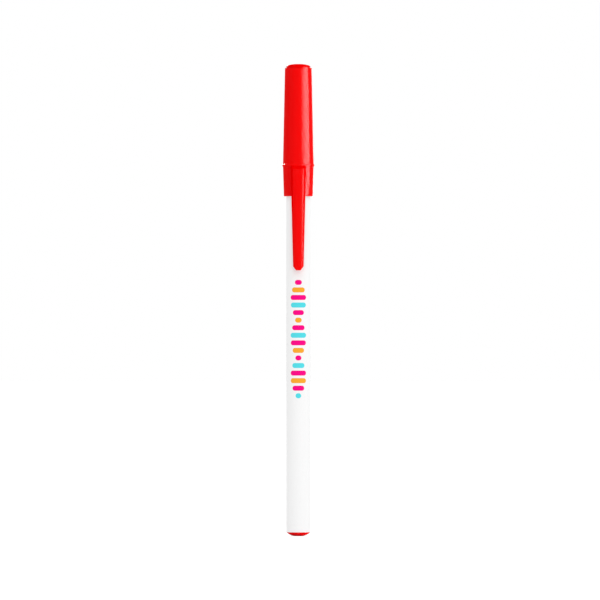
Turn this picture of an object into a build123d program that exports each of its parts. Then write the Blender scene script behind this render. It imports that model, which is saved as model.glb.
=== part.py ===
from build123d import *
import os

# Stick ballpoint pen, capped and standing on its tail, in millimetres.
# The pen's axis is +Z, the flat of the tail is at the origin, and the clip faces -Y.

os.makedirs("parts", exist_ok=True)

# Shared clearances
press_gap = 0.02
overrun = 1.0

# Facets that each small curve of a turned outline is drawn with
curve_facets = 4

# Barrel
barrel_radius = 3.85
barrel_wall = 1.1
barrel_length = 117.33
barrel_edge = 0.15
barrel_draft = 0.04

# End plug
plug_head_height = 1.2
plug_flat_radius = 0.82
plug_middle_radius = 2.7
plug_middle_height = 0.45
plug_rim_step = 0.07
plug_stem_length = 8.0
plug_stem_wall = 0.9
plug_stem_lead = 0.3

# Grip bead on the plug's stem and on the nose's spigot
bead_proud = 0.1
bead_height = 0.4
bead_inset = 4.0

# Nose
nose_flange_height = 1.0
nose_flange_edge = 0.1
nose_flare_height = 1.05
nose_step = 0.63
nose_cone_length = 8.9
nose_end_land = 0.37
nose_end_edge = 0.25
nose_spigot_length = 10.0
nose_spigot_lead = 0.3
nose_web = 1.2

# Ink tube and ink
tube_radius = 1.5
tube_wall = 0.5
tube_tail_gap = 3.0
feed_lip = 0.2
ink_headspace = 16.0
ink_gap = 0.02

# Point
point_radius = 2.28
point_shoulder = 0.68
point_stem_length = 6.0
point_cone_length = 6.83
point_step = 0.08
point_bore_radius = 0.55
point_bore_stop = 0.6
nib_length = 1.85
nib_taper = 0.2
nib_wall = 0.12
nib_lip = 0.18

# Ball
ball_radius = 0.5
ball_gap = 0.015
ball_feed_radius = 0.3

# Cap
cap_overlap = 10.55
cap_stop_gap = 0.2
cap_stop_overlap = 0.1
cap_bore_gap = 0.18
cap_mouth_wall = 0.58
cap_skirt_length = 9.37
cap_skirt_wall = 0.86
cap_mouth_edge = 0.12
cap_mouth_lead = 0.2
cap_ridge_height = 0.85
cap_ridge_proud = 0.21
cap_cone_length = 30.55
cap_rim_radius = 4.27
cap_rim_edge = 0.15
cap_wall = 0.95
cap_end_wall = 1.3
cap_vent_radius = 0.9

# Button on the cap's end
button_ledge = 0.45
button_side_height = 0.36
button_dome_height = 0.9

# Grip ribs in the cap's skirt
rib_count = 6
rib_gap = 0.04
rib_width = 0.7
rib_inset = 1.2
rib_root = 0.15

# Clip
clip_reach = 23.55
clip_tip_gap = 0.6
clip_tip_thickness = 1.92
clip_mouth_gap = 0.18
clip_root_width = 4.94
clip_tip_width = 3.28
clip_root_face = 3.4
clip_tip_face = 2.5
clip_crown_radius = 5.0
clip_edge = 0.2
clip_top_drop = 0.77
clip_corner_width = 0.9
clip_corner_height = 1.2
clip_toe_depth = 0.73
clip_toe_height = 1.05

# Heights along the pen
barrel_tail = plug_head_height
barrel_front = barrel_tail + barrel_length
flange_top = barrel_front + nose_flange_height
flare_top = flange_top + nose_flare_height
nose_end = flare_top + nose_cone_length
stem_seat = nose_end - point_stem_length
tube_seat = stem_seat - nose_web
spigot_end = barrel_front - nose_spigot_length
plug_stem_end = barrel_tail + plug_stem_length
tube_tail = plug_stem_end + tube_tail_gap
ink_level = tube_tail + ink_headspace
cone_top = nose_end + point_cone_length
bore_top = cone_top - point_bore_stop
nib_end = cone_top + nib_length
ball_height = nib_end - nib_lip
cap_mouth = barrel_front - cap_overlap
cap_stop = flange_top + cap_stop_gap
ridge_low = cap_mouth + cap_skirt_length
ridge_middle = ridge_low + cap_ridge_height / 2
ridge_high = ridge_low + cap_ridge_height
cap_rim = ridge_high + cap_cone_length
button_dome_base = cap_rim + button_side_height
cap_end = button_dome_base + button_dome_height
cap_ceiling = cap_end - cap_end_wall
clip_end = cap_mouth - clip_reach

# Radii and distances from the axis
barrel_bore = barrel_radius - barrel_wall
barrel_front_radius = barrel_radius - barrel_draft
pressed_radius = barrel_bore - press_gap - bead_proud
plug_rim_radius = barrel_radius - plug_rim_step
plug_stem_bore = pressed_radius - plug_stem_wall
nose_root_radius = barrel_radius - nose_step
nose_end_radius = point_radius + nose_end_land
stem_radius = point_radius - point_shoulder
tube_bore = tube_radius - tube_wall
feed_radius = tube_bore - feed_lip
nib_end_radius = ball_radius + nib_wall
nib_root_radius = nib_end_radius + nib_taper
cone_top_radius = nib_root_radius + point_step
socket_radius = ball_radius + ball_gap
cap_bore = barrel_radius + cap_bore_gap
cap_mouth_radius = cap_bore + cap_mouth_wall
cap_skirt_radius = cap_bore + cap_skirt_wall
cap_ridge_radius = cap_skirt_radius + cap_ridge_proud
cap_stop_radius = barrel_radius - cap_stop_overlap
cap_ceiling_radius = cap_rim_radius - cap_wall
button_radius = cap_rim_radius - button_ledge
rib_face = barrel_radius + rib_gap
clip_tip_inside = barrel_radius + clip_tip_gap
clip_mouth_inside = barrel_radius + clip_mouth_gap
clip_crest = clip_tip_inside + clip_tip_thickness


def along(curve):
    """Points at equal steps along a curve, from its start to its end."""
    return [curve @ (step / curve_facets) for step in range(curve_facets + 1)]


def bead_ring(middle):
    """Grip bead round a pressed-in stem, at a height on the pen."""
    with BuildPart() as ring:
        with BuildSketch(Plane.XZ):
            with BuildLine():
                Polyline(
                    (0, middle - bead_height / 2),
                    (pressed_radius, middle - bead_height / 2),
                    (pressed_radius + bead_proud, middle),
                    (pressed_radius, middle + bead_height / 2),
                    (0, middle + bead_height / 2),
                    close=True,
                )
            make_face()
        revolve(axis=Axis.Z)
    return ring.part


# Barrel: a straight tube whose front narrows a little where the cap and its clip reach
with BuildPart() as barrel:
    with BuildSketch(Plane.XZ) as tube_section:
        with BuildLine():
            Polyline(
                (barrel_bore, barrel_tail),
                (barrel_radius, barrel_tail),
                (barrel_radius, clip_end),
                (barrel_front_radius, barrel_front),
                (barrel_bore, barrel_front),
                close=True,
            )
        make_face()
        tube_ends = tube_section.vertices().group_by(Axis.Y)
        chamfer([tube_ends[0].sort_by(Axis.X)[-1], tube_ends[-1].sort_by(Axis.X)[-1]], barrel_edge)
    revolve(axis=Axis.Z)
barrel.part.label = "barrel"

# End plug: a dome with a small flat, and a hollow stem with a grip bead
with BuildPart() as end_plug:
    with BuildSketch(Plane.XZ):
        with BuildLine():
            dome = ThreePointArc(
                (plug_flat_radius, 0),
                (plug_middle_radius, plug_middle_height),
                (plug_rim_radius, barrel_tail),
                mode=Mode.PRIVATE,
            )
            Polyline((0, 0), *along(dome), (0, barrel_tail), close=True)
        make_face()
    revolve(axis=Axis.Z)
    with BuildSketch(Plane.XY.offset(barrel_tail)):
        Circle(pressed_radius)
    extrude(amount=plug_stem_length)
    chamfer(end_plug.edges().sort_by(Axis.Z)[-1], plug_stem_lead)
    add(bead_ring(barrel_tail + bead_inset))
    with BuildSketch(Plane.XY.offset(barrel_tail)):
        Circle(plug_stem_bore)
    extrude(amount=plug_stem_length + overrun, mode=Mode.SUBTRACT)
end_plug.part.label = "end_plug"

# Nose: spigot with a grip bead, flange, flare and taper, bored for the point and the ink tube
with BuildPart() as nose:
    with BuildSketch(Plane.XZ) as nose_section:
        with BuildLine():
            rear = Polyline(
                (0, nose_end),
                (0, spigot_end),
                (pressed_radius, spigot_end),
                (pressed_radius, barrel_front),
                (barrel_radius, barrel_front),
                (barrel_radius, flange_top),
            )
            taper = Line((nose_end_radius, nose_end), (nose_root_radius, flare_top))
            flare = TangentArc(taper @ 1, rear @ 1, tangent=taper % 1, mode=Mode.PRIVATE)
            Polyline(*along(flare))
            Line(rear @ 0, taper @ 0)
        make_face()
        nose_ends = nose_section.vertices().group_by(Axis.Y)
        flange_rim = nose_section.vertices().group_by(Axis.X)[-1].sort_by(Axis.Y)[-1]
        chamfer(nose_ends[0].sort_by(Axis.X)[-1], nose_spigot_lead)
        chamfer(nose_ends[-1].sort_by(Axis.X)[-1], nose_end_edge)
        chamfer(flange_rim, nose_flange_edge)
    revolve(axis=Axis.Z)
    add(bead_ring(barrel_front - bead_inset))
    with BuildSketch(Plane.XY.offset(stem_seat)):
        Circle(stem_radius + press_gap)
    extrude(amount=point_stem_length, mode=Mode.SUBTRACT)
    with BuildSketch(Plane.XY.offset(tube_seat)):
        Circle(feed_radius)
    extrude(amount=nose_web, mode=Mode.SUBTRACT)
    with BuildSketch(Plane.XY.offset(tube_seat)):
        Circle(tube_radius + press_gap)
    extrude(amount=spigot_end - tube_seat, mode=Mode.SUBTRACT)
nose.part.label = "nose"

# Ink tube: pushed into the nose as far as its web, and free at its tail
with BuildPart() as ink_tube:
    with BuildSketch(Plane.XY.offset(tube_tail)):
        Circle(tube_radius)
        Circle(tube_bore, mode=Mode.SUBTRACT)
    extrude(amount=tube_seat - tube_tail)
ink_tube.part.label = "ink_tube"

# Ink: one column through the tube, the nose's feed hole and the point's bore
ink_stretches = (
    (tube_bore, ink_level, tube_seat),
    (feed_radius, tube_seat, stem_seat),
    (point_bore_radius, stem_seat, bore_top - ink_gap),
)
with BuildPart() as ink:
    for wall_radius, low, high in ink_stretches:
        with BuildSketch(Plane.XY.offset(low)):
            Circle(wall_radius - ink_gap)
        extrude(amount=high - low)
ink.part.label = "ink"

# Point: stem, cone and finer nib, bored for ink, with a socket that closes over the ball
with BuildPart() as point:
    with BuildSketch(Plane.XZ):
        with BuildLine():
            Polyline(
                (0, stem_seat),
                (stem_radius, stem_seat),
                (stem_radius, nose_end),
                (point_radius, nose_end),
                (cone_top_radius, cone_top),
                (nib_root_radius, cone_top),
                (nib_end_radius, nib_end),
                (0, nib_end),
                close=True,
            )
        make_face()
    revolve(axis=Axis.Z)
    with BuildSketch(Plane.XY.offset(stem_seat)):
        Circle(point_bore_radius)
    extrude(amount=bore_top - stem_seat, mode=Mode.SUBTRACT)
    with BuildSketch(Plane.XY.offset(bore_top)):
        Circle(ball_feed_radius)
    extrude(amount=ball_height - bore_top, mode=Mode.SUBTRACT)
    with Locations((0, 0, ball_height)):
        Sphere(socket_radius, mode=Mode.SUBTRACT)
point.part.label = "point"

# Ball: turns in the socket, with its top standing out of the lip
with BuildPart() as ball:
    with Locations((0, 0, ball_height)):
        Sphere(ball_radius)
ball.part.label = "ball"

# Cap: a clip, a skirt with a ring bead, a long taper and a domed button, hollow from the mouth
clip_mouth_drop = clip_tip_gap - clip_mouth_gap
clip_root_inside = clip_mouth_inside - clip_mouth_drop * cap_skirt_length / clip_reach
clip_nose_width = clip_tip_width - 2 * clip_corner_width
clip_corner_run = (clip_root_width - clip_nose_width) / 2
clip_corner_top = clip_end + clip_corner_run * clip_corner_height / clip_corner_width
with BuildPart() as cap:
    # Clip with sloped flanks, tapering from its root to its tip
    for height, width, face in (
        (clip_end, clip_tip_width, clip_tip_face),
        (ridge_low, clip_root_width, clip_root_face),
    ):
        with BuildSketch(Plane.XY.offset(height)):
            with BuildLine():
                Polyline(
                    (-width / 2, -clip_root_inside),
                    (-width / 2, -clip_tip_inside),
                    (-face / 2, -clip_crest),
                    (face / 2, -clip_crest),
                    (width / 2, -clip_tip_inside),
                    (width / 2, -clip_root_inside),
                    close=True,
                )
            make_face()
    loft(ruled=True)

    # Side outline of the clip, from its sloped root to its toe
    with BuildSketch(Plane.YZ):
        with BuildLine():
            Polyline(
                (-clip_root_inside, ridge_low),
                (-cap_skirt_radius, ridge_low),
                (-clip_crest, ridge_low - clip_top_drop),
                (-clip_crest, clip_end),
                (-clip_tip_inside - clip_toe_depth, clip_end),
                (-clip_tip_inside, clip_end + clip_toe_height),
                close=True,
            )
        make_face()
    extrude(amount=clip_root_width, both=True, mode=Mode.INTERSECT)

    # Corners taken off the clip's tip, along lines that run on past its flanks
    with BuildSketch(Plane.XZ):
        with BuildLine():
            Polyline(
                (-clip_root_width / 2, ridge_low),
                (-clip_root_width / 2, clip_corner_top),
                (-clip_nose_width / 2, clip_end),
                (clip_nose_width / 2, clip_end),
                (clip_root_width / 2, clip_corner_top),
                (clip_root_width / 2, ridge_low),
                close=True,
            )
        make_face()
    extrude(amount=clip_crest, mode=Mode.INTERSECT)

    # Crown across the clip's face
    with BuildSketch(Plane.XY.offset(clip_end)):
        with Locations((0, clip_crown_radius - clip_crest)):
            Circle(clip_crown_radius)
    extrude(amount=ridge_low - clip_end, mode=Mode.INTERSECT)
    clip_long_edges = cap.edges().filter_by(lambda edge: edge.length > clip_reach)
    fillet(clip_long_edges.group_by(Axis.Y)[0], clip_edge)

    # Skirt, ring bead, taper and button
    with BuildSketch(Plane.XZ) as cap_outline:
        with BuildLine():
            skirt = Line((cap_mouth_radius, cap_mouth), (cap_skirt_radius, ridge_low))
            ridge = ThreePointArc(
                skirt @ 1,
                (cap_ridge_radius, ridge_middle),
                (cap_skirt_radius, ridge_high),
                mode=Mode.PRIVATE,
            )
            dome = EllipticalCenterArc(
                (0, button_dome_base),
                button_radius,
                button_dome_height,
                start_angle=0,
                arc_size=90,
                mode=Mode.PRIVATE,
            )
            Polyline(
                *along(ridge),
                (cap_rim_radius, cap_rim),
                (button_radius, cap_rim),
                *along(dome),
                (0, cap_mouth),
                skirt @ 0,
            )
        make_face()
        mouth_corner = cap_outline.vertices().group_by(Axis.Y)[0].sort_by(Axis.X)[-1]
        rim_corner = cap_outline.vertices().sort_by_distance((cap_rim_radius, cap_rim))[0]
        chamfer(mouth_corner, cap_mouth_edge)
        chamfer(rim_corner, cap_rim_edge)
    revolve(axis=Axis.Z)

    # Bore for the barrel, stop for the nose's flange and tapered hollow up to the end wall
    with BuildSketch(Plane.XZ):
        with BuildLine():
            Polyline(
                (0, cap_mouth),
                (cap_bore + cap_mouth_lead, cap_mouth),
                (cap_bore, cap_mouth + cap_mouth_lead),
                (cap_bore, cap_stop),
                (cap_stop_radius, cap_stop),
                (cap_ceiling_radius, cap_ceiling),
                (0, cap_ceiling),
                close=True,
            )
        make_face()
    revolve(axis=Axis.Z, mode=Mode.SUBTRACT)

    # Grip ribs along the skirt's bore
    with BuildSketch(Plane.XY.offset(cap_mouth + rib_inset)):
        with PolarLocations((rib_face + cap_bore + rib_root) / 2, rib_count):
            Rectangle(cap_bore + rib_root - rib_face, rib_width)
    extrude(amount=cap_skirt_length - rib_inset)

    # Vent in the end wall
    with Locations((0, 0, cap_end)):
        Hole(cap_vent_radius, depth=cap_end_wall + overrun)
cap.part.label = "cap"

for piece in (barrel, end_plug, nose, ink_tube, ink, point, ball, cap):
    export_step(piece.part, f"parts/{piece.part.label}.step")
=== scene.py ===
import math

import bmesh
import bpy
from mathutils import Matrix, Vector


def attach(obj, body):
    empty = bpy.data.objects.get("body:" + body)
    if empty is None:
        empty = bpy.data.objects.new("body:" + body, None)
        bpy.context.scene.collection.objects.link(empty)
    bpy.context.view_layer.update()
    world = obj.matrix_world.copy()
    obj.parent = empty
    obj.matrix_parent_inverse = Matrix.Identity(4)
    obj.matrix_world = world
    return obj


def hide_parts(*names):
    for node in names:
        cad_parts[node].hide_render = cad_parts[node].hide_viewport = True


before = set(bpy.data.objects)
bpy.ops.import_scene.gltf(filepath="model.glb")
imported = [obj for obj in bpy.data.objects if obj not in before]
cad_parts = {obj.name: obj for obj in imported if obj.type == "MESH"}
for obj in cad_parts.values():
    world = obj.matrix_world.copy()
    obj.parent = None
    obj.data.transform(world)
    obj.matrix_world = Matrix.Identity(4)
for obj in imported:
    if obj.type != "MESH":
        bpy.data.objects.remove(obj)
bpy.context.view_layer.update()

# Lengths of the pen are in millimetres, and become metres when a mesh is made.
MM = 0.001

# Vertices closer than this, in metres, are one, and edges over this angle stay sharp.
MERGE = 1e-7
SHARP_ANGLE = math.radians(32)

# Steps of turned and rounded forms
TURN_STEPS = 256
POINT_TURN_STEPS = 128
BALL_TURN_STEPS = 64
BALL_STEPS = 32
SOCKET_STEPS = 14
PLUG_DOME_STEPS = 14
FLARE_STEPS = 12
RIDGE_STEPS = 10
BUTTON_DOME_STEPS = 16
CROWN_STEPS = 32
ROUND_STEPS = 5
CLIP_EDGE_STEPS = 3
RIB_EDGE_STEPS = 2

# Heights along the pen
BARREL_TAIL = 1.2
BARREL_FRONT = 118.53
PLUG_MIDDLE_HEIGHT = 0.45
PLUG_STEM_END = 9.2
SPIGOT_END = 108.53
FLANGE_TOP = 119.53
FLARE_MIDDLE_HEIGHT = 119.9785
FLARE_TOP = 120.58
TUBE_SEAT = 122.28
STEM_SEAT = 123.48
NOSE_END = 129.48
BORE_TOP = 135.71
CONE_TOP = 136.31
BALL_HEIGHT = 137.98
NIB_END = 138.16
CAP_MOUTH = 107.98
RIDGE_LOW = 117.35
RIDGE_HIGH = 118.2
CAP_STOP = 119.73
CAP_CEILING = 148.71
CAP_RIM = 148.75
DOME_BASE = 149.11
VENT_FLARE_LOW = 149.86
VENT_FLARE_HIGH = 149.985
CAP_END = 150.01

# Radii
BARREL_RADIUS = 3.85
BARREL_FRONT_RADIUS = 3.81
BARREL_BORE = 2.75
PRESSED_RADIUS = 2.63
BEAD_RADIUS = 2.73
PLUG_FLAT_RADIUS = 0.82
PLUG_MIDDLE_RADIUS = 2.7
PLUG_RIM_RADIUS = 3.78
PLUG_STEM_BORE = 1.73
FLARE_MIDDLE_RADIUS = 3.4075
NOSE_ROOT_RADIUS = 3.22
NOSE_END_RADIUS = 2.65
STEM_HOLE = 1.62
TUBE_HOLE = 1.52
FEED_RADIUS = 0.8
POINT_RADIUS = 2.28
STEM_RADIUS = 1.6
POINT_BORE = 0.55
CONE_TOP_RADIUS = 0.9
NIB_ROOT_RADIUS = 0.82
NIB_END_RADIUS = 0.62
BALL_RADIUS = 0.5
SOCKET_RADIUS = 0.515
BALL_FEED = 0.3
CAP_BORE = 4.03
CAP_MOUTH_RADIUS = 4.61
CAP_SKIRT_RADIUS = 4.89
CAP_RIDGE_RADIUS = 5.09
CAP_STOP_RADIUS = 3.75
CAP_CEILING_RADIUS = 3.32
CAP_RIM_RADIUS = 4.27
BUTTON_RADIUS = 3.82
VENT_RADIUS = 0.9
VENT_FLARE_RADIUS = 1.02

# Grip bead on a pressed-in stem
BEAD_INSET = 4.0
BEAD_HALF = 0.2

# Lead-in of the cap's mouth, groove round its button and overrun of its hollow
CAP_LEAD = 0.2
BUTTON_GROOVE = 0.14
HOLLOW_OVERRUN = 1

# Roundings
BARREL_EDGE = 0.15
BEAD_EDGE = 0.08
PLUG_RIM_EDGE = 0.06
STEM_LEAD_EDGE = 0.3
STEM_BORE_EDGE = 0.3
FLANGE_LOW_EDGE = 0.08
FLANGE_EDGE = 0.1
NOSE_EDGE = 0.25
POINT_STEM_EDGE = 0.2
POINT_RIM_EDGE = 0.08
CONE_EDGE = 0.03
NIB_EDGE = 0.06
CAP_MOUTH_EDGE = 0.12
CAP_RIM_EDGE = 0.2
CEILING_EDGE = 0.4
CLIP_EDGE = 0.16
RIB_EDGE = 0.06

# Clip
CLIP_END = 84.43
CLIP_CREST = 6.369
CLIP_ROOT_INSIDE = 3.863
CLIP_TIP_INSIDE = 4.45
CLIP_ROOT_WIDTH = 4.94
CLIP_TIP_WIDTH = 3.28
CLIP_ROOT_FACE = 3.4
CLIP_TIP_FACE = 2.5
CLIP_CROWN_RADIUS = 5.0
CLIP_TOE_HEIGHT = 1.05
CLIP_TOE_DEPTH = 0.73
CLIP_CORNER_HEIGHT = 1.2
CLIP_CORNER_WIDTH = 0.9
CLIP_TOP_DROP = 0.77
CLIP_TOP_RUN = 1.48

# Grip ribs in the cap's skirt
RIB_COUNT = 6
RIB_SIZE = (0.29, 0.7, 8.17)
RIB_RADIUS = 4.035
RIB_MIDDLE = 113.265


# Shapes

def draw_to(bm, vert, place):
    """Draws an edge from a vertex to a new one, at a place in millimetres."""
    drawn = bmesh.ops.extrude_vert_indiv(bm, verts=[vert])["verts"][0]
    drawn.co = Vector(place) * MM
    return drawn


def soften(bm, geom, size, steps, affect="EDGES", clamp=False):
    """Rounds edges, or the corners of an outline, by a size in millimetres."""
    bmesh.ops.bevel(
        bm, geom=geom, offset=size * MM, segments=steps, profile=0.5,
        affect=affect, material=-1, clamp_overlap=clamp,
    )


class Outline:
    """A turned piece's half section, radius across and height up, that is spun about the pen's axis."""

    def __init__(self, radius, height):
        self.mesh = bmesh.new()
        self.tip = self.mesh.verts.new((radius * MM, 0, height * MM))
        self.first = self.tip
        self.corners = []

    def line(self, radius, height, rounding=0):
        """Goes straight to the next corner, which may be rounded."""
        self.tip = draw_to(self.mesh, self.tip, (radius, 0, height))
        if rounding:
            self.corners.append((self.tip, rounding))
        return self

    def arc(self, centre, angle, steps, squeeze=1):
        """Swings about a centre by an angle in degrees, anticlockwise from the right, squeezed in height."""
        pivot = Vector((centre[0], 0, centre[1])) * MM
        before = set(self.mesh.verts)
        turned = bmesh.ops.spin(
            self.mesh, geom=[self.tip], cent=pivot, axis=(0, -1, 0),
            angle=math.radians(angle), steps=steps,
        )
        made = [vert for vert in self.mesh.verts if vert not in before]
        for vert in made:
            vert.co.z = pivot.z + (vert.co.z - pivot.z) * squeeze
        self.tip = turned["geom_last"][0]
        return self

    def arc_through(self, middle, end, steps, rounding=0):
        """Swings through a middle point to an end point, which may be rounded."""
        (ax, ay), (bx, by), (cx, cy) = self.tip.co.xz / MM, middle, end
        d = 2 * (ax * (by - cy) + bx * (cy - ay) + cx * (ay - by))
        a2, b2, c2 = ax * ax + ay * ay, bx * bx + by * by, cx * cx + cy * cy
        x = (a2 * (by - cy) + b2 * (cy - ay) + c2 * (ay - by)) / d
        y = (a2 * (cx - bx) + b2 * (ax - cx) + c2 * (bx - ax)) / d
        swing = math.degrees(math.atan2(cy - y, cx - x) - math.atan2(ay - y, ax - x))
        swing = (swing + 180) % 360 - 180
        self.arc((x, y), swing, steps)
        if rounding:
            self.corners.append((self.tip, rounding))
        return self

    def bead(self, middle):
        """Goes up a pressed-in stem and over its grip bead."""
        self.line(PRESSED_RADIUS, middle - BEAD_HALF)
        self.line(BEAD_RADIUS, middle, BEAD_EDGE)
        return self.line(PRESSED_RADIUS, middle + BEAD_HALF)

    def turn(self, closed=True, steps=TURN_STEPS):
        """Rounds the corners and spins the outline. Open outlines begin and end on the axis."""
        bm = self.mesh
        if closed:
            bm.edges.new((self.tip, self.first))
        for rounding in sorted({size for _, size in self.corners}):
            corners = [vert for vert, size in self.corners if size == rounding]
            soften(bm, corners, rounding, ROUND_STEPS, "VERTICES")
        bmesh.ops.spin(
            bm, geom=bm.verts[:] + bm.edges[:], cent=(0, 0, 0), axis=(0, 0, 1),
            angle=math.tau, steps=steps, use_merge=True,
        )
        bmesh.ops.remove_doubles(bm, verts=bm.verts, dist=MERGE)
        bmesh.ops.recalc_face_normals(bm, faces=bm.faces)
        return bm


def smooth(piece):
    """Smooth faces, with edges sharper than the sharp angle kept hard."""
    piece.data.polygons.foreach_set("use_smooth", [True] * len(piece.data.polygons))
    piece.data.set_sharp_from_angle(angle=SHARP_ANGLE)


def settle(bm, name):
    """A mesh object at the origin, smooth with its sharp edges kept."""
    mesh = bpy.data.meshes.new(name)
    bm.to_mesh(mesh)
    bm.free()
    piece = bpy.data.objects.new(name, mesh)
    bpy.context.scene.collection.objects.link(piece)
    smooth(piece)
    return piece


def carve(piece, tool, operation):
    """Joins a tool shape to a piece or cuts it out, and puts the tool away."""
    step = piece.modifiers.new(operation.lower(), "BOOLEAN")
    step.operation = operation
    step.solver = "MANIFOLD"
    step.object = tool
    shaped = bpy.data.meshes.new_from_object(
        piece.evaluated_get(bpy.context.evaluated_depsgraph_get())
    )
    piece.modifiers.clear()
    old = piece.data
    piece.data = shaped
    shaped.name = piece.name
    bpy.data.meshes.remove(old)
    used = tool.data
    bpy.data.objects.remove(tool)
    bpy.data.meshes.remove(used)


def make_barrel():
    """Straight tube with softened ends, a little narrower where the cap sits."""
    section = Outline(BARREL_BORE, BARREL_TAIL)
    section.line(BARREL_RADIUS, BARREL_TAIL, BARREL_EDGE)
    section.line(BARREL_RADIUS, CLIP_END)
    section.line(BARREL_FRONT_RADIUS, BARREL_FRONT, BARREL_EDGE)
    section.line(BARREL_BORE, BARREL_FRONT)
    return settle(section.turn(), "barrel_tube")


def make_end_plug():
    """Domed head with a small flat, and the hollow stem with its grip bead inside the barrel."""
    dome_middle = (PLUG_MIDDLE_RADIUS, PLUG_MIDDLE_HEIGHT)
    section = Outline(0, 0)
    section.line(PLUG_FLAT_RADIUS, 0)
    section.arc_through(dome_middle, (PLUG_RIM_RADIUS, BARREL_TAIL), PLUG_DOME_STEPS, PLUG_RIM_EDGE)
    section.line(PRESSED_RADIUS, BARREL_TAIL)
    section.bead(BARREL_TAIL + BEAD_INSET)
    section.line(PRESSED_RADIUS, PLUG_STEM_END, STEM_LEAD_EDGE)
    section.line(PLUG_STEM_BORE, PLUG_STEM_END)
    section.line(PLUG_STEM_BORE, BARREL_TAIL, STEM_BORE_EDGE)
    section.line(0, BARREL_TAIL)
    return settle(section.turn(closed=False), "tail_plug")


def make_nose():
    """Flange, hollow flare and taper in front of the barrel, with the bored spigot inside it."""
    flare_middle = (FLARE_MIDDLE_RADIUS, FLARE_MIDDLE_HEIGHT)
    section = Outline(STEM_HOLE, NOSE_END)
    section.line(STEM_HOLE, STEM_SEAT)
    section.line(FEED_RADIUS, STEM_SEAT)
    section.line(FEED_RADIUS, TUBE_SEAT)
    section.line(TUBE_HOLE, TUBE_SEAT)
    section.line(TUBE_HOLE, SPIGOT_END)
    section.line(PRESSED_RADIUS, SPIGOT_END, STEM_LEAD_EDGE)
    section.bead(BARREL_FRONT - BEAD_INSET)
    section.line(PRESSED_RADIUS, BARREL_FRONT)
    section.line(BARREL_RADIUS, BARREL_FRONT, FLANGE_LOW_EDGE)
    section.line(BARREL_RADIUS, FLANGE_TOP, FLANGE_EDGE)
    section.arc_through(flare_middle, (NOSE_ROOT_RADIUS, FLARE_TOP), FLARE_STEPS)
    section.line(NOSE_END_RADIUS, NOSE_END, NOSE_EDGE)
    return settle(section.turn(), "nose_cone")


def make_point():
    """Brass cone with a finer nib, whose lip closes over the ball."""
    lip = math.sqrt(SOCKET_RADIUS ** 2 - (NIB_END - BALL_HEIGHT) ** 2)
    seat = math.sqrt(SOCKET_RADIUS ** 2 - BALL_FEED ** 2)
    section = Outline(lip, NIB_END)
    section.arc_through((SOCKET_RADIUS, BALL_HEIGHT), (BALL_FEED, BALL_HEIGHT - seat), SOCKET_STEPS)
    section.line(BALL_FEED, BORE_TOP)
    section.line(POINT_BORE, BORE_TOP)
    section.line(POINT_BORE, STEM_SEAT)
    section.line(STEM_RADIUS, STEM_SEAT, POINT_STEM_EDGE)
    section.line(STEM_RADIUS, NOSE_END)
    section.line(POINT_RADIUS, NOSE_END, POINT_RIM_EDGE)
    section.line(CONE_TOP_RADIUS, CONE_TOP, CONE_EDGE)
    section.line(NIB_ROOT_RADIUS, CONE_TOP)
    section.line(NIB_END_RADIUS, NIB_END, NIB_EDGE)
    return settle(section.turn(steps=POINT_TURN_STEPS), "writing_point")


def make_ball():
    """The ball, spun from a half circle."""
    section = Outline(0, BALL_HEIGHT - BALL_RADIUS)
    section.arc((0, BALL_HEIGHT), 180, BALL_STEPS)
    return settle(section.turn(closed=False, steps=BALL_TURN_STEPS), "writing_ball")


def clip_loop(bm, width, face, height):
    """Outline across the clip at a height: straight inside, sloped flanks and a crowned face."""
    half = width / 2
    lean = (width - face) / 2 / (CLIP_CREST - CLIP_TIP_INSIDE)
    pivot = CLIP_CREST - CLIP_CROWN_RADIUS
    rise = CLIP_TIP_INSIDE - pivot
    # Height of the flank, from its foot to where it meets the crown
    a, b, c = 1 + lean ** 2, rise - half * lean, half ** 2 + rise ** 2 - CLIP_CROWN_RADIUS ** 2
    flank = (math.sqrt(b ** 2 - a * c) - b) / a
    edge = half - lean * flank
    first = bm.verts.new(Vector((-half, -CLIP_ROOT_INSIDE, height)) * MM)
    vert = draw_to(bm, first, (-half, -CLIP_TIP_INSIDE, height))
    vert = draw_to(bm, vert, (-edge, -CLIP_TIP_INSIDE - flank, height))
    vert = bmesh.ops.spin(
        bm, geom=[vert], cent=Vector((0, -pivot, height)) * MM, axis=(0, 0, 1),
        angle=2 * math.asin(edge / CLIP_CROWN_RADIUS), steps=CROWN_STEPS,
    )["geom_last"][0]
    vert = draw_to(bm, vert, (half, -CLIP_TIP_INSIDE, height))
    vert = draw_to(bm, vert, (half, -CLIP_ROOT_INSIDE, height))
    bm.edges.new((vert, first))


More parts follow.
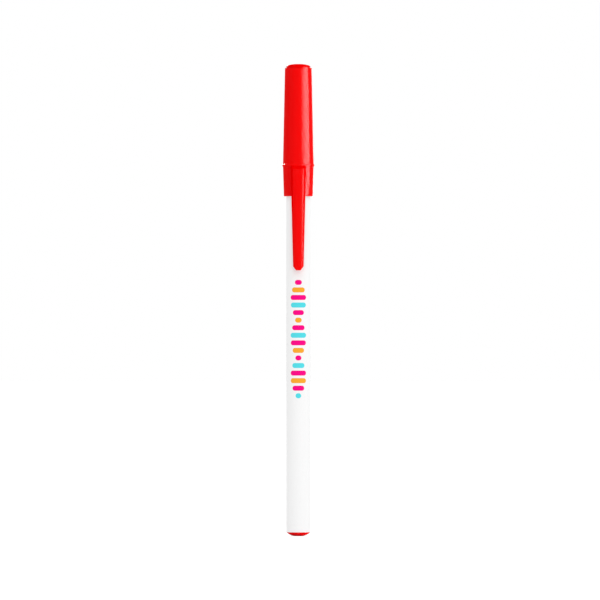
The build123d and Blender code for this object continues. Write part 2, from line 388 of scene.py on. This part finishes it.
def make_clip():
    """Crowned bar with sloped flanks that tapers to a blunt tip, its edges softened."""
    bm = bmesh.new()
    clip_loop(bm, CLIP_ROOT_WIDTH, CLIP_ROOT_FACE, RIDGE_LOW)
    root = bm.edges[:]
    clip_loop(bm, CLIP_TIP_WIDTH, CLIP_TIP_FACE, CLIP_END)
    tip = [edge for edge in bm.edges if edge not in root]
    bmesh.ops.bridge_loops(bm, edges=root + tip)
    for rim in (root, tip):
        bmesh.ops.contextual_create(bm, geom=rim)
    bmesh.ops.recalc_face_normals(bm, faces=bm.faces)

    # Places and outward directions of the slanted inside, the toe, the tip's two corners and the sloped root
    toe_top = CLIP_END + CLIP_TOE_HEIGHT
    tip_half = CLIP_TIP_WIDTH / 2 - CLIP_CORNER_WIDTH
    slant = (0, RIDGE_LOW - toe_top, CLIP_ROOT_INSIDE - CLIP_TIP_INSIDE)
    cuts = (
        ((0, -CLIP_ROOT_INSIDE, RIDGE_LOW), slant),
        ((0, -CLIP_TIP_INSIDE, toe_top), (0, CLIP_TOE_HEIGHT, -CLIP_TOE_DEPTH)),
        ((tip_half, 0, CLIP_END), (CLIP_CORNER_HEIGHT, 0, -CLIP_CORNER_WIDTH)),
        ((-tip_half, 0, CLIP_END), (-CLIP_CORNER_HEIGHT, 0, -CLIP_CORNER_WIDTH)),
        ((0, -CAP_SKIRT_RADIUS, RIDGE_LOW), (0, -CLIP_TOP_DROP, CLIP_TOP_RUN)),
    )
    for place, away in cuts:
        made = bmesh.ops.bisect_plane(
            bm, geom=bm.verts[:] + bm.edges[:] + bm.faces[:], dist=MERGE,
            plane_co=Vector(place) * MM, plane_no=away, clear_outer=True,
        )["geom_cut"]
        rim = [item for item in made if isinstance(item, bmesh.types.BMEdge)]
        bmesh.ops.contextual_create(bm, geom=rim)
    bmesh.ops.recalc_face_normals(bm, faces=bm.faces)

    # The edges that show, clear of the inner side
    soft = [edge for edge in bm.edges if edge.calc_face_angle() > SHARP_ANGLE
            and max(vert.co.y for vert in edge.verts) < -CLIP_TIP_INSIDE * MM - MERGE]
    soften(bm, soft, CLIP_EDGE, CLIP_EDGE_STEPS, clamp=True)
    return settle(bm, "clip_blank")


def make_ribs():
    """Low ribs along the bore of the cap's skirt, with softened edges."""
    bm = bmesh.new()
    for place in range(RIB_COUNT):
        made = bmesh.ops.create_cube(bm, size=MM)["verts"]
        bmesh.ops.scale(bm, verts=made, vec=RIB_SIZE)
        bmesh.ops.translate(bm, verts=made, vec=Vector((RIB_RADIUS, 0, RIB_MIDDLE)) * MM)
        soften(bm, [edge for edge in bm.edges if not edge.verts[0].tag], RIB_EDGE, RIB_EDGE_STEPS)
        fresh = [vert for vert in bm.verts if not vert.tag]
        turn = Matrix.Rotation(math.radians(360 / RIB_COUNT * place), 3, "Z")
        bmesh.ops.rotate(bm, verts=fresh, cent=(0, 0, 0), matrix=turn)
        for vert in bm.verts:
            vert.tag = True
    return settle(bm, "rib_blank")


def make_cap():
    """Skirt, ring bead, taper and button turned in one, with the clip joined on and the hollow cut out."""
    ridge_middle = (CAP_RIDGE_RADIUS, (RIDGE_LOW + RIDGE_HIGH) / 2)
    body = Outline(0, CAP_MOUTH + 2 * CAP_LEAD)
    body.line(CAP_BORE - CAP_LEAD, CAP_MOUTH + 2 * CAP_LEAD)
    body.line(CAP_BORE + CAP_LEAD, CAP_MOUTH)
    body.line(CAP_MOUTH_RADIUS, CAP_MOUTH, CAP_MOUTH_EDGE)
    body.line(CAP_SKIRT_RADIUS, RIDGE_LOW)
    body.arc_through(ridge_middle, (CAP_SKIRT_RADIUS, RIDGE_HIGH), RIDGE_STEPS)
    body.line(CAP_RIM_RADIUS, CAP_RIM, CAP_RIM_EDGE)
    body.line(BUTTON_RADIUS - BUTTON_GROOVE, CAP_RIM)
    body.line(BUTTON_RADIUS - BUTTON_GROOVE, CAP_RIM + BUTTON_GROOVE)
    body.line(BUTTON_RADIUS, CAP_RIM + BUTTON_GROOVE)
    body.line(BUTTON_RADIUS, DOME_BASE)
    body.arc((0, DOME_BASE), 90, BUTTON_DOME_STEPS, (CAP_END - DOME_BASE) / BUTTON_RADIUS)
    cap = settle(body.turn(closed=False), "pen_cap")

    hollow = Outline(0, CAP_MOUTH - HOLLOW_OVERRUN)
    hollow.line(CAP_BORE, CAP_MOUTH - HOLLOW_OVERRUN)
    hollow.line(CAP_BORE, CAP_STOP)
    hollow.line(CAP_STOP_RADIUS, CAP_STOP)
    hollow.line(CAP_CEILING_RADIUS, CAP_CEILING, CEILING_EDGE)
    hollow.line(VENT_RADIUS, CAP_CEILING)
    hollow.line(VENT_RADIUS, VENT_FLARE_LOW)
    hollow.line(VENT_FLARE_RADIUS, VENT_FLARE_HIGH)
    hollow.line(VENT_FLARE_RADIUS, CAP_END + HOLLOW_OVERRUN)
    hollow.line(0, CAP_END + HOLLOW_OVERRUN)
    carve(cap, make_clip(), "UNION")
    carve(cap, settle(hollow.turn(closed=False), "hollow_blank"), "DIFFERENCE")
    carve(cap, make_ribs(), "UNION")
    smooth(cap)
    return cap


# Finishes. Sizes of patterns are in repeats a metre, and depths of relief in millimetres.

# Colours, each from its darker to its lighter tone
RED_TONES = (0.80, 0.0, 0.0), (0.83, 0.001, 0.001)
WHITE_TONES = (0.960, 0.960, 0.962), (0.980, 0.980, 0.981)
BRASS_TONES = (0.46, 0.29, 0.03), (0.58, 0.39, 0.06)
TUBE_TONES = (0.78, 0.80, 0.81), (0.88, 0.89, 0.90)
INK_TONES = (0.30, 0.002, 0.008), (0.50, 0.006, 0.015)
BALL_METAL, BALL_INK = (0.56, 0.56, 0.58), (0.42, 0.01, 0.02)
MAGENTA, ORANGE, AQUA = (1.0, 0.0, 0.25), (1.0, 0.42, 0.03), (0.10, 0.76, 0.84)

# Moulded skin: flow along the pen, fine grain and hair-thin rubs
FLOW_SCALE, FLOW_DETAIL, FLOW_STRETCH = 420, 3, (1, 1, 0.12)
GRAIN_SCALE, GRAIN_DETAIL, GRAIN_RELIEF = 5200, 2, 0.35
RUB_SCALE, RUB_DETAIL, RUB_STRETCH, RUB_LEAN = 2600, 1, (1, 1, 0.05), (0.05, 0.04, 0)
RUB_START, RUB_FULL = 0.66, 0.74
RUB_ROUGHNESS, RUB_RELIEF = 0.05, -0.25
SKIN_BUMP, SKIN_DEPTH = 0.35, 0.002

# Gloss of each moulded plastic and how much it varies, and the clear coat on the red and on the cap's button
RED_GLOSS, RED_SPREAD = 0.14, 0.04
WHITE_GLOSS, WHITE_SPREAD, WHITE_SPECULAR = 0.42, 0.06, 0.08
TUBE_GLOSS, TUBE_SPREAD = 0.38, 0.08
RED_COAT, BUTTON_COAT, RED_COAT_ROUGHNESS = 0.06, 0.008, 0.12
COAT_IOR = 1.7

# Satin flanks of the clip: where the coat fades beside the clip's face, how much of it goes, and the radii
# past which the red is all clip, below the cap's mouth and above it
FADE_START, FADE_FULL, FLANK_COAT_LOSS = 0.05, 0.2, -0.9
CLEAR_OF_BARREL, CLEAR_OF_CAP = 4.0, 5.12

# Brass: lathe rings and soft clouds under a lacquer
RING_SCALE, RING_DISTORTION, RING_DETAIL = 2600, 1.5, 2
RING_ROUGHNESS, BRASS_ROUGHNESS = 0.10, 0.27
RING_BUMP, RING_DEPTH = 0.3, 0.004
CLOUD_SCALE = 900
BRASS_COAT, BRASS_COAT_ROUGHNESS = 1, 0.3

# Ball: smears of ink, which are less metallic
SMEAR_SCALE, SMEAR_DETAIL = 2400, 3
SMEAR_START, SMEAR_FULL = 0.5, 0.62
SMEAR_METAL_LOSS = -0.7
SMEAR_ROUGHNESS, BALL_ROUGHNESS = 0.12, 0.10

# Ink: streaks along the tube
STREAK_SCALE, STREAK_STRETCH = 700, (1, 1, 0.1)
STREAK_ROUGHNESS, INK_ROUGHNESS = 0.08, 0.06

# Printed bars on the clip's side of the barrel, whose length rises and falls, and dots on its far side
PRINT_FIRST, PRINT_PITCH, PRINT_COUNT = 43.4, 2.4, 16
DOTS_FIRST, DOTS_PITCH, DOTS_COUNT = 61.4, 2.4, 5
BAR_RADIUS = 0.8
HALF_ROW = 0.5
BAR_LEAST, BAR_SWING, BAR_PHASE = 0.1, 1.8, 0.62
COLOUR_REPEAT = 4

# Sockets of a colour mix node
MIX_FIRST, MIX_SECOND, MIX_RESULT = 6, 7, 2


class Nodes:
    """A node tree, with short ways to add nodes and join them."""

    def __init__(self, tree):
        self.tree = tree

    def add(self, kind, values=None, **settings):
        """A node with its settings, and with values on its named inputs."""
        made = self.tree.nodes.new(kind)
        for key, value in settings.items():
            setattr(made, key, value)
        for name, value in (values or {}).items():
            made.inputs[name].default_value = value
        return made

    def link(self, source, target):
        """Joins an output to an input."""
        self.tree.links.new(source, target)

    def math(self, operation, *terms):
        """A math node fed with numbers or sockets."""
        made = self.add("ShaderNodeMath", operation=operation)
        for socket, term in zip(made.inputs, terms):
            if isinstance(term, (int, float)):
                socket.default_value = term
            else:
                self.link(term, socket)
        return made.outputs[0]

    def mix(self, factor, first, second):
        """A colour mix by a factor socket."""
        made = self.add("ShaderNodeMix", data_type="RGBA")
        self.link(factor, made.inputs["Factor"])
        for place, term in ((MIX_FIRST, first), (MIX_SECOND, second)):
            if isinstance(term, tuple):
                made.inputs[place].default_value = (*term, 1)
            else:
                self.link(term, made.inputs[place])
        return made.outputs[MIX_RESULT]

    def place(self):
        """Places in the object's own space."""
        return self.add("ShaderNodeTexCoord").outputs["Object"]

    def axes(self):
        """The three coordinates of a place in the object's own space."""
        split = self.add("ShaderNodeSeparateXYZ")
        self.link(self.place(), split.inputs["Vector"])
        return [split.outputs[axis] for axis in "XYZ"]

    def stretched(self, place, stretch, lean=(0, 0, 0)):
        """Places stretched along the axes, and leaned by small angles."""
        made = self.add("ShaderNodeMapping", {"Scale": stretch, "Rotation": lean})
        self.link(place, made.inputs["Vector"])
        return made.outputs["Vector"]

    def noise(self, place, scale, detail=2):
        """A soft noise between 0 and 1."""
        made = self.add("ShaderNodeTexNoise", {"Scale": scale, "Detail": detail})
        self.link(place, made.inputs["Vector"])
        return made.outputs["Fac"]

    def ramp(self, value, start, full, low=0, high=1):
        """Goes from low to high while a value goes from start to full."""
        made = self.add("ShaderNodeMapRange", {
            "From Min": start, "From Max": full, "To Min": low, "To Max": high,
        })
        self.link(value, made.inputs["Value"])
        return made.outputs["Result"]

    def seen(self):
        """1 for what is seen, straight, in a gloss or through a clear piece, and 0 for light."""
        rays = self.add("ShaderNodeLightPath").outputs
        plain = self.math("MAXIMUM", rays["Is Camera Ray"], rays["Is Glossy Ray"])
        return self.math("MAXIMUM", plain, rays["Is Transmission Ray"])


class Finish(Nodes):
    """A node material built from a Principled shader."""

    def __init__(self, name):
        self.material = bpy.data.materials.new(name)
        self.material.use_nodes = True
        super().__init__(self.material.node_tree)
        self.shader = self.tree.nodes["Principled BSDF"]

    def feed(self, source, name):
        """Joins an output to an input of the shader."""
        self.link(source, self.shader.inputs[name])

    def set(self, **values):
        """Constant values on the shader's inputs, with low lines for the spaces in their names."""
        for name, value in values.items():
            self.shader.inputs[name.replace("_", " ")].default_value = value

    def relief(self, height, strength, depth):
        """Bumps the surface by a height that varies between 0 and 1."""
        bump = self.add("ShaderNodeBump", {"Strength": strength, "Distance": depth * MM})
        self.link(height, bump.inputs["Height"])
        self.feed(bump.outputs["Normal"], "Normal")


def make_moulded_skin():
    """Gloss of moulded plastic: soft patches, flow along the pen and hair-thin rubs."""
    group = bpy.data.node_groups.new("moulded_skin", "ShaderNodeTree")
    for way, names in (("INPUT", ("Gloss", "Spread")), ("OUTPUT", ("Tone", "Roughness", "Height"))):
        for name in names:
            group.interface.new_socket(name=name, in_out=way, socket_type="NodeSocketFloat")
    nodes = Nodes(group)
    given = nodes.add("NodeGroupInput").outputs
    out = nodes.add("NodeGroupOutput").inputs
    place = nodes.place()
    flow = nodes.noise(nodes.stretched(place, FLOW_STRETCH), FLOW_SCALE, FLOW_DETAIL)
    grain = nodes.noise(place, GRAIN_SCALE, GRAIN_DETAIL)
    streaks = nodes.noise(nodes.stretched(place, RUB_STRETCH, RUB_LEAN), RUB_SCALE, RUB_DETAIL)
    rubs = nodes.ramp(streaks, RUB_START, RUB_FULL)
    nodes.link(flow, out["Tone"])
    patchy = nodes.math("MULTIPLY_ADD", flow, given["Spread"], given["Gloss"])
    nodes.link(nodes.math("MULTIPLY_ADD", rubs, RUB_ROUGHNESS, patchy), out["Roughness"])
    relief = nodes.math("MULTIPLY_ADD", grain, GRAIN_RELIEF, flow)
    nodes.link(nodes.math("MULTIPLY_ADD", rubs, RUB_RELIEF, relief), out["Height"])
    return group


def skin_on(finish, skin, gloss, spread):
    """Places the moulded skin in a finish and gives back its tone."""
    placed = finish.add("ShaderNodeGroup", node_tree=skin)
    placed.inputs["Gloss"].default_value = gloss
    placed.inputs["Spread"].default_value = spread
    finish.feed(placed.outputs["Roughness"], "Roughness")
    finish.relief(placed.outputs["Height"], SKIN_BUMP, SKIN_DEPTH)
    return placed.outputs["Tone"]


def clip_flanks(finish, x, y, z):
    """Mask of the clip's flanks, which stand clear of barrel and skirt to either side of the clip's face."""
    out = finish.math("SQRT", finish.math("MULTIPLY_ADD", x, x, finish.math("MULTIPLY", y, y)))
    mouth = ((CAP_MOUTH - CAP_LEAD) * MM, CAP_MOUTH * MM)
    inner = finish.ramp(z, *mouth, CLEAR_OF_BARREL * MM, CLEAR_OF_CAP * MM)
    length = (CLIP_END * MM, RIDGE_LOW * MM)
    face = finish.ramp(z, *length, CLIP_TIP_FACE / 2 * MM, CLIP_ROOT_FACE / 2 * MM)
    past = finish.math("SUBTRACT", finish.math("ABSOLUTE", x), face)
    side = finish.ramp(past, FADE_START * MM, FADE_FULL * MM)
    return finish.math("MULTIPLY", finish.math("GREATER_THAN", out, inner), side)


def red_moulding(skin):
    """Glossy red of the cap, nose and tail plug, with the cap's button and the clip's flanks left satin."""
    finish = Finish("red_moulding")
    x, y, z = finish.axes()
    button = (CAP_RIM * MM, (CAP_RIM + BUTTON_GROOVE) * MM)
    coat = finish.ramp(z, *button, RED_COAT, BUTTON_COAT)
    left = finish.math("MULTIPLY_ADD", clip_flanks(finish, x, y, z), FLANK_COAT_LOSS, 1)
    finish.feed(finish.math("MULTIPLY", coat, left), "Coat Weight")
    tone = skin_on(finish, skin, RED_GLOSS, RED_SPREAD)
    finish.feed(finish.mix(tone, *RED_TONES), "Base Color")
    finish.set(Specular_IOR_Level=0, Coat_IOR=COAT_IOR, Coat_Roughness=RED_COAT_ROUGHNESS)
    return finish.material


def row_of(finish, up, first, pitch):
    """Which row of a print a height is in."""
    return finish.math("FLOOR", finish.math("DIVIDE", finish.math("SUBTRACT", up, first), pitch))


def bar_mask(finish, around, up, index, length, first, pitch, count):
    """Mask of round-ended bars, one in each row, that reach a length to either side."""
    middle = finish.math("MULTIPLY_ADD", index, pitch, first + pitch / 2)
    off = finish.math("SUBTRACT", up, middle)
    past = finish.math("MAXIMUM", finish.math("SUBTRACT", finish.math("ABSOLUTE", around), length), 0)
    away = finish.math("ADD", finish.math("MULTIPLY", past, past), finish.math("MULTIPLY", off, off))
    bar = finish.math("LESS_THAN", away, BAR_RADIUS ** 2)
    above = finish.math("GREATER_THAN", index, -HALF_ROW)
    below = finish.math("LESS_THAN", index, count - HALF_ROW)
    return finish.math("MULTIPLY", bar, finish.math("MULTIPLY", above, below))


def white_barrel(skin):
    """White of the barrel, with printed bars on the clip's side and dots on the far side."""
    finish = Finish("white_barrel")
    tone = skin_on(finish, skin, WHITE_GLOSS, WHITE_SPREAD)
    plain = finish.mix(tone, *WHITE_TONES)

    # Distances round the barrel from the clip's side and from the far side, and the height, in millimetres
    x, y, z = finish.axes()
    towards_clip = finish.math("MULTIPLY", y, -1)
    front = finish.math("MULTIPLY", finish.math("ARCTAN2", x, towards_clip), BARREL_RADIUS)
    back = finish.math("MULTIPLY", finish.math("ARCTAN2", x, y), BARREL_RADIUS)
    up = finish.math("MULTIPLY", z, 1 / MM)

    # Bars one above the other, that run aqua, magenta, orange, magenta
    index = row_of(finish, up, PRINT_FIRST, PRINT_PITCH)
    wave = finish.math("ABSOLUTE", finish.math("SINE", finish.math("MULTIPLY", index, BAR_PHASE)))
    length = finish.math("MULTIPLY_ADD", wave, BAR_SWING, BAR_LEAST)
    bars = bar_mask(finish, front, up, index, length, PRINT_FIRST, PRINT_PITCH, PRINT_COUNT)
    second = finish.math("FLOORED_MODULO", index, 2)
    step = finish.math("FLOORED_MODULO", index, COLOUR_REPEAT)
    later = finish.math("GREATER_THAN", step, COLOUR_REPEAT / 2 - HALF_ROW)
    print_colour = finish.mix(second, finish.mix(later, AQUA, ORANGE), MAGENTA)
    colour = finish.mix(bars, plain, print_colour)

    # A short row of aqua dots on the far side
    index = row_of(finish, up, DOTS_FIRST, DOTS_PITCH)
    dots = bar_mask(finish, back, up, index, 0, DOTS_FIRST, DOTS_PITCH, DOTS_COUNT)
    finish.feed(finish.mix(dots, colour, AQUA), "Base Color")
    finish.set(Specular_IOR_Level=WHITE_SPECULAR)
    return finish.material


def turned_brass():
    """Lacquered brass with fine rings left by the lathe."""
    finish = Finish("turned_brass")
    place = finish.place()
    wave = finish.add("ShaderNodeTexWave", {
        "Scale": RING_SCALE, "Distortion": RING_DISTORTION, "Detail": RING_DETAIL,
    }, wave_type="BANDS", bands_direction="Z")
    finish.link(place, wave.inputs["Vector"])
    rings = wave.outputs["Fac"]
    finish.feed(finish.mix(finish.noise(place, CLOUD_SCALE), *BRASS_TONES), "Base Color")
    finish.feed(finish.math("MULTIPLY_ADD", rings, RING_ROUGHNESS, BRASS_ROUGHNESS), "Roughness")
    finish.relief(rings, RING_BUMP, RING_DEPTH)
    finish.set(Metallic=1, Coat_Weight=BRASS_COAT, Coat_IOR=COAT_IOR, Coat_Roughness=BRASS_COAT_ROUGHNESS)
    return finish.material


def inked_ball():
    """Hard bright metal with thin smears of ink."""
    finish = Finish("inked_ball")
    smear = finish.noise(finish.place(), SMEAR_SCALE, SMEAR_DETAIL)
    wet = finish.ramp(smear, SMEAR_START, SMEAR_FULL)
    finish.feed(finish.mix(wet, BALL_METAL, BALL_INK), "Base Color")
    finish.feed(finish.math("MULTIPLY_ADD", wet, SMEAR_METAL_LOSS, 1), "Metallic")
    finish.feed(finish.math("MULTIPLY_ADD", smear, SMEAR_ROUGHNESS, BALL_ROUGHNESS), "Roughness")
    return finish.material


def milky_tube(skin):
    """Milky plastic of the ink tube."""
    finish = Finish("milky_tube")
    tone = skin_on(finish, skin, TUBE_GLOSS, TUBE_SPREAD)
    finish.feed(finish.mix(tone, *TUBE_TONES), "Base Color")
    return finish.material


def wet_ink():
    """Thick dark red ink, with soft streaks along the tube."""
    finish = Finish("wet_ink")
    streak = finish.noise(finish.stretched(finish.place(), STREAK_STRETCH), STREAK_SCALE)
    finish.feed(finish.mix(streak, *INK_TONES), "Base Color")
    finish.feed(finish.math("MULTIPLY_ADD", streak, STREAK_ROUGHNESS, INK_ROUGHNESS), "Roughness")
    return finish.material


def dress(piece, material, body, node):
    """Gives a new piece its finish, even normals and its body, and hides the solid that it stands for."""
    piece.data.materials.clear()
    piece.data.materials.append(material)
    even = piece.modifiers.new("even_normals", "WEIGHTED_NORMAL")
    even.mode = "FACE_AREA_WITH_ANGLE"
    even.keep_sharp = True
    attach(piece, body)
    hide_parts(node)
    return piece


skin = make_moulded_skin()
red = red_moulding(skin)
white = white_barrel(skin)
dress(make_barrel(), white, "pen", "barrel")
plug = dress(make_end_plug(), red, "pen", "end_plug")
red_pieces = [
    plug,
    dress(make_nose(), red, "pen", "nose"),
    dress(make_cap(), red, "cap", "cap"),
]
metals = [
    dress(make_point(), turned_brass(), "pen", "point"),
    dress(make_ball(), inked_ball(), "ball", "ball"),
]
for node, material in (("ink_tube", milky_tube(skin)), ("ink", wet_ink())):
    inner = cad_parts[node]
    inner.data.materials.clear()
    inner.data.materials.append(material)


# Stage, in metres

FLOOR_RADIUS = 6
FLOOR_SIDES = 96
FLOOR_COLOUR = (0.92, 0.92, 0.92, 1)
FLOOR_GLOW = 0.33
SKY_COLOUR = (1, 1, 1, 1)
SKY_LIGHT = 0.87
SKY_SEEN = 1.0
LENS = 600
SENSOR = 36
CAMERA_PLACE = (0.00052, -3.178, 0.075)

# Watts of a square metre of lamp at a radiance of 1
LAMP_WATTS = 4

# Distances of lamps from the pen, and the heights on it that they are aimed at
FAR = 1.0
NEAR = 0.3
TAIL_AIM = 0.0
BODY_AIM = 0.075
BACK_AIM = 0.08
BEAD_AIM = 0.12
POINT_AIM = 0.13
CAP_AIM = 0.14


def make_floor():
    """Pale floor that keeps the shadow and meets the white background."""
    bm = bmesh.new()
    bmesh.ops.create_circle(bm, cap_ends=True, segments=FLOOR_SIDES, radius=FLOOR_RADIUS)
    floor = settle(bm, "floor")
    material = bpy.data.materials.new("pale_floor")
    material.use_nodes = True
    nodes = Nodes(material.node_tree)
    nodes.tree.nodes.clear()
    matt = nodes.add("ShaderNodeBsdfDiffuse", {"Color": FLOOR_COLOUR})
    glow = nodes.add("ShaderNodeEmission")
    nodes.link(nodes.math("MULTIPLY", nodes.seen(), FLOOR_GLOW), glow.inputs["Strength"])
    both = nodes.add("ShaderNodeAddShader")
    nodes.link(matt.outputs[0], both.inputs[0])
    nodes.link(glow.outputs[0], both.inputs[1])
    nodes.link(both.outputs[0], nodes.add("ShaderNodeOutputMaterial").inputs["Surface"])
    floor.data.materials.append(material)


def make_sky():
    """White background, and a softer even light from all round."""
    world = bpy.data.worlds.new("studio")
    world.use_nodes = True
    bpy.context.scene.world = world
    nodes = Nodes(world.node_tree)
    back = nodes.tree.nodes["Background"]
    back.inputs["Color"].default_value = SKY_COLOUR
    nodes.link(nodes.ramp(nodes.seen(), 0, 1, SKY_LIGHT, SKY_SEEN), back.inputs["Strength"])


def make_lamp(
    name, azimuth, elevation, aim, size, radiance, distance=FAR, pieces=None, gloss=False,
):
    """Box lamp aimed at a height on the pen, with azimuth 0 at the camera and 90 to its right.

    It lights surfaces, or shows only in their gloss, and it may fall on some pieces alone."""
    lamp = bpy.data.lights.new(name, "AREA")
    lamp.shape = "RECTANGLE"
    lamp.size, lamp.size_y = size
    lamp.energy = LAMP_WATTS * radiance * size[0] * size[1]
    placed = bpy.data.objects.new(name, lamp)
    bpy.context.scene.collection.objects.link(placed)
    turn, rise = math.radians(azimuth), math.radians(elevation)
    away = Vector((
        math.sin(turn) * math.cos(rise), -math.cos(turn) * math.cos(rise), math.sin(rise),
    ))
    placed.location = Vector((0, 0, aim)) + away * distance
    placed.rotation_euler = away.to_track_quat("Z", "Y").to_euler()
    placed.visible_camera = False
    placed.visible_diffuse = not gloss
    placed.visible_glossy = gloss
    if pieces:
        lit = bpy.data.collections.new(name + "_lit")
        for piece in pieces:
            lit.objects.link(piece)
        placed.light_linking.receiver_collection = lit


def make_camera():
    """Long lens straight at the clip's side of the pen, framed as a square picture."""
    lens = bpy.data.cameras.new("camera")
    lens.lens = LENS
    lens.sensor_width = SENSOR
    camera = bpy.data.objects.new("camera", lens)
    bpy.context.scene.collection.objects.link(camera)
    camera.location = CAMERA_PLACE
    camera.rotation_euler = (math.radians(90), 0, 0)
    bpy.context.scene.camera = camera


make_floor()
make_sky()

# Light on the surfaces
make_lamp("front_box", azimuth=34, elevation=20, aim=BODY_AIM, size=(1.0, 0.9), radiance=0.46)
make_lamp("side_box", azimuth=80, elevation=5, aim=BODY_AIM, size=(0.8, 0.6), radiance=0.14)
make_lamp(
    "red_box", azimuth=50, elevation=10, aim=BODY_AIM, size=(1.0, 0.9), radiance=1.2,
    pieces=red_pieces,
)

# Streaks and glints in the red
make_lamp(
    "strip_right", azimuth=70, elevation=0, aim=CAP_AIM, size=(0.252, 0.28), radiance=31.0,
    distance=NEAR, pieces=red_pieces, gloss=True,
)
make_lamp(
    "strip_fade", azimuth=37, elevation=0, aim=CAP_AIM, size=(0.102, 0.28), radiance=13.0,
    distance=NEAR, pieces=red_pieces, gloss=True,
)
make_lamp(
    "strip_back", azimuth=168, elevation=0, aim=BACK_AIM, size=(0.126, 0.16), radiance=20.0,
    distance=NEAR, pieces=red_pieces, gloss=True,
)
make_lamp(
    "glint_left", azimuth=-147, elevation=23, aim=BEAD_AIM, size=(0.42, 0.38), radiance=100.0,
    pieces=red_pieces, gloss=True,
)
make_lamp(
    "glint_right", azimuth=108, elevation=52, aim=BEAD_AIM, size=(0.5, 0.4), radiance=40.0,
    pieces=red_pieces, gloss=True,
)

# Light that reaches under the tail
make_lamp(
    "tail_box", azimuth=45, elevation=4, aim=TAIL_AIM, size=(1.4, 0.12), radiance=6.0,
    pieces=[plug],
)

# Highlights of the brass and the ball
make_lamp(
    "point_box_right", azimuth=62, elevation=14, aim=POINT_AIM, size=(1.1, 0.6), radiance=5.5,
    pieces=metals, gloss=True,
)
make_lamp(
    "point_box_back", azimuth=-112, elevation=16, aim=POINT_AIM, size=(0.7, 0.6), radiance=2.4,
    pieces=metals, gloss=True,
)

make_camera()
bpy.context.scene.view_settings.view_transform = "Standard"
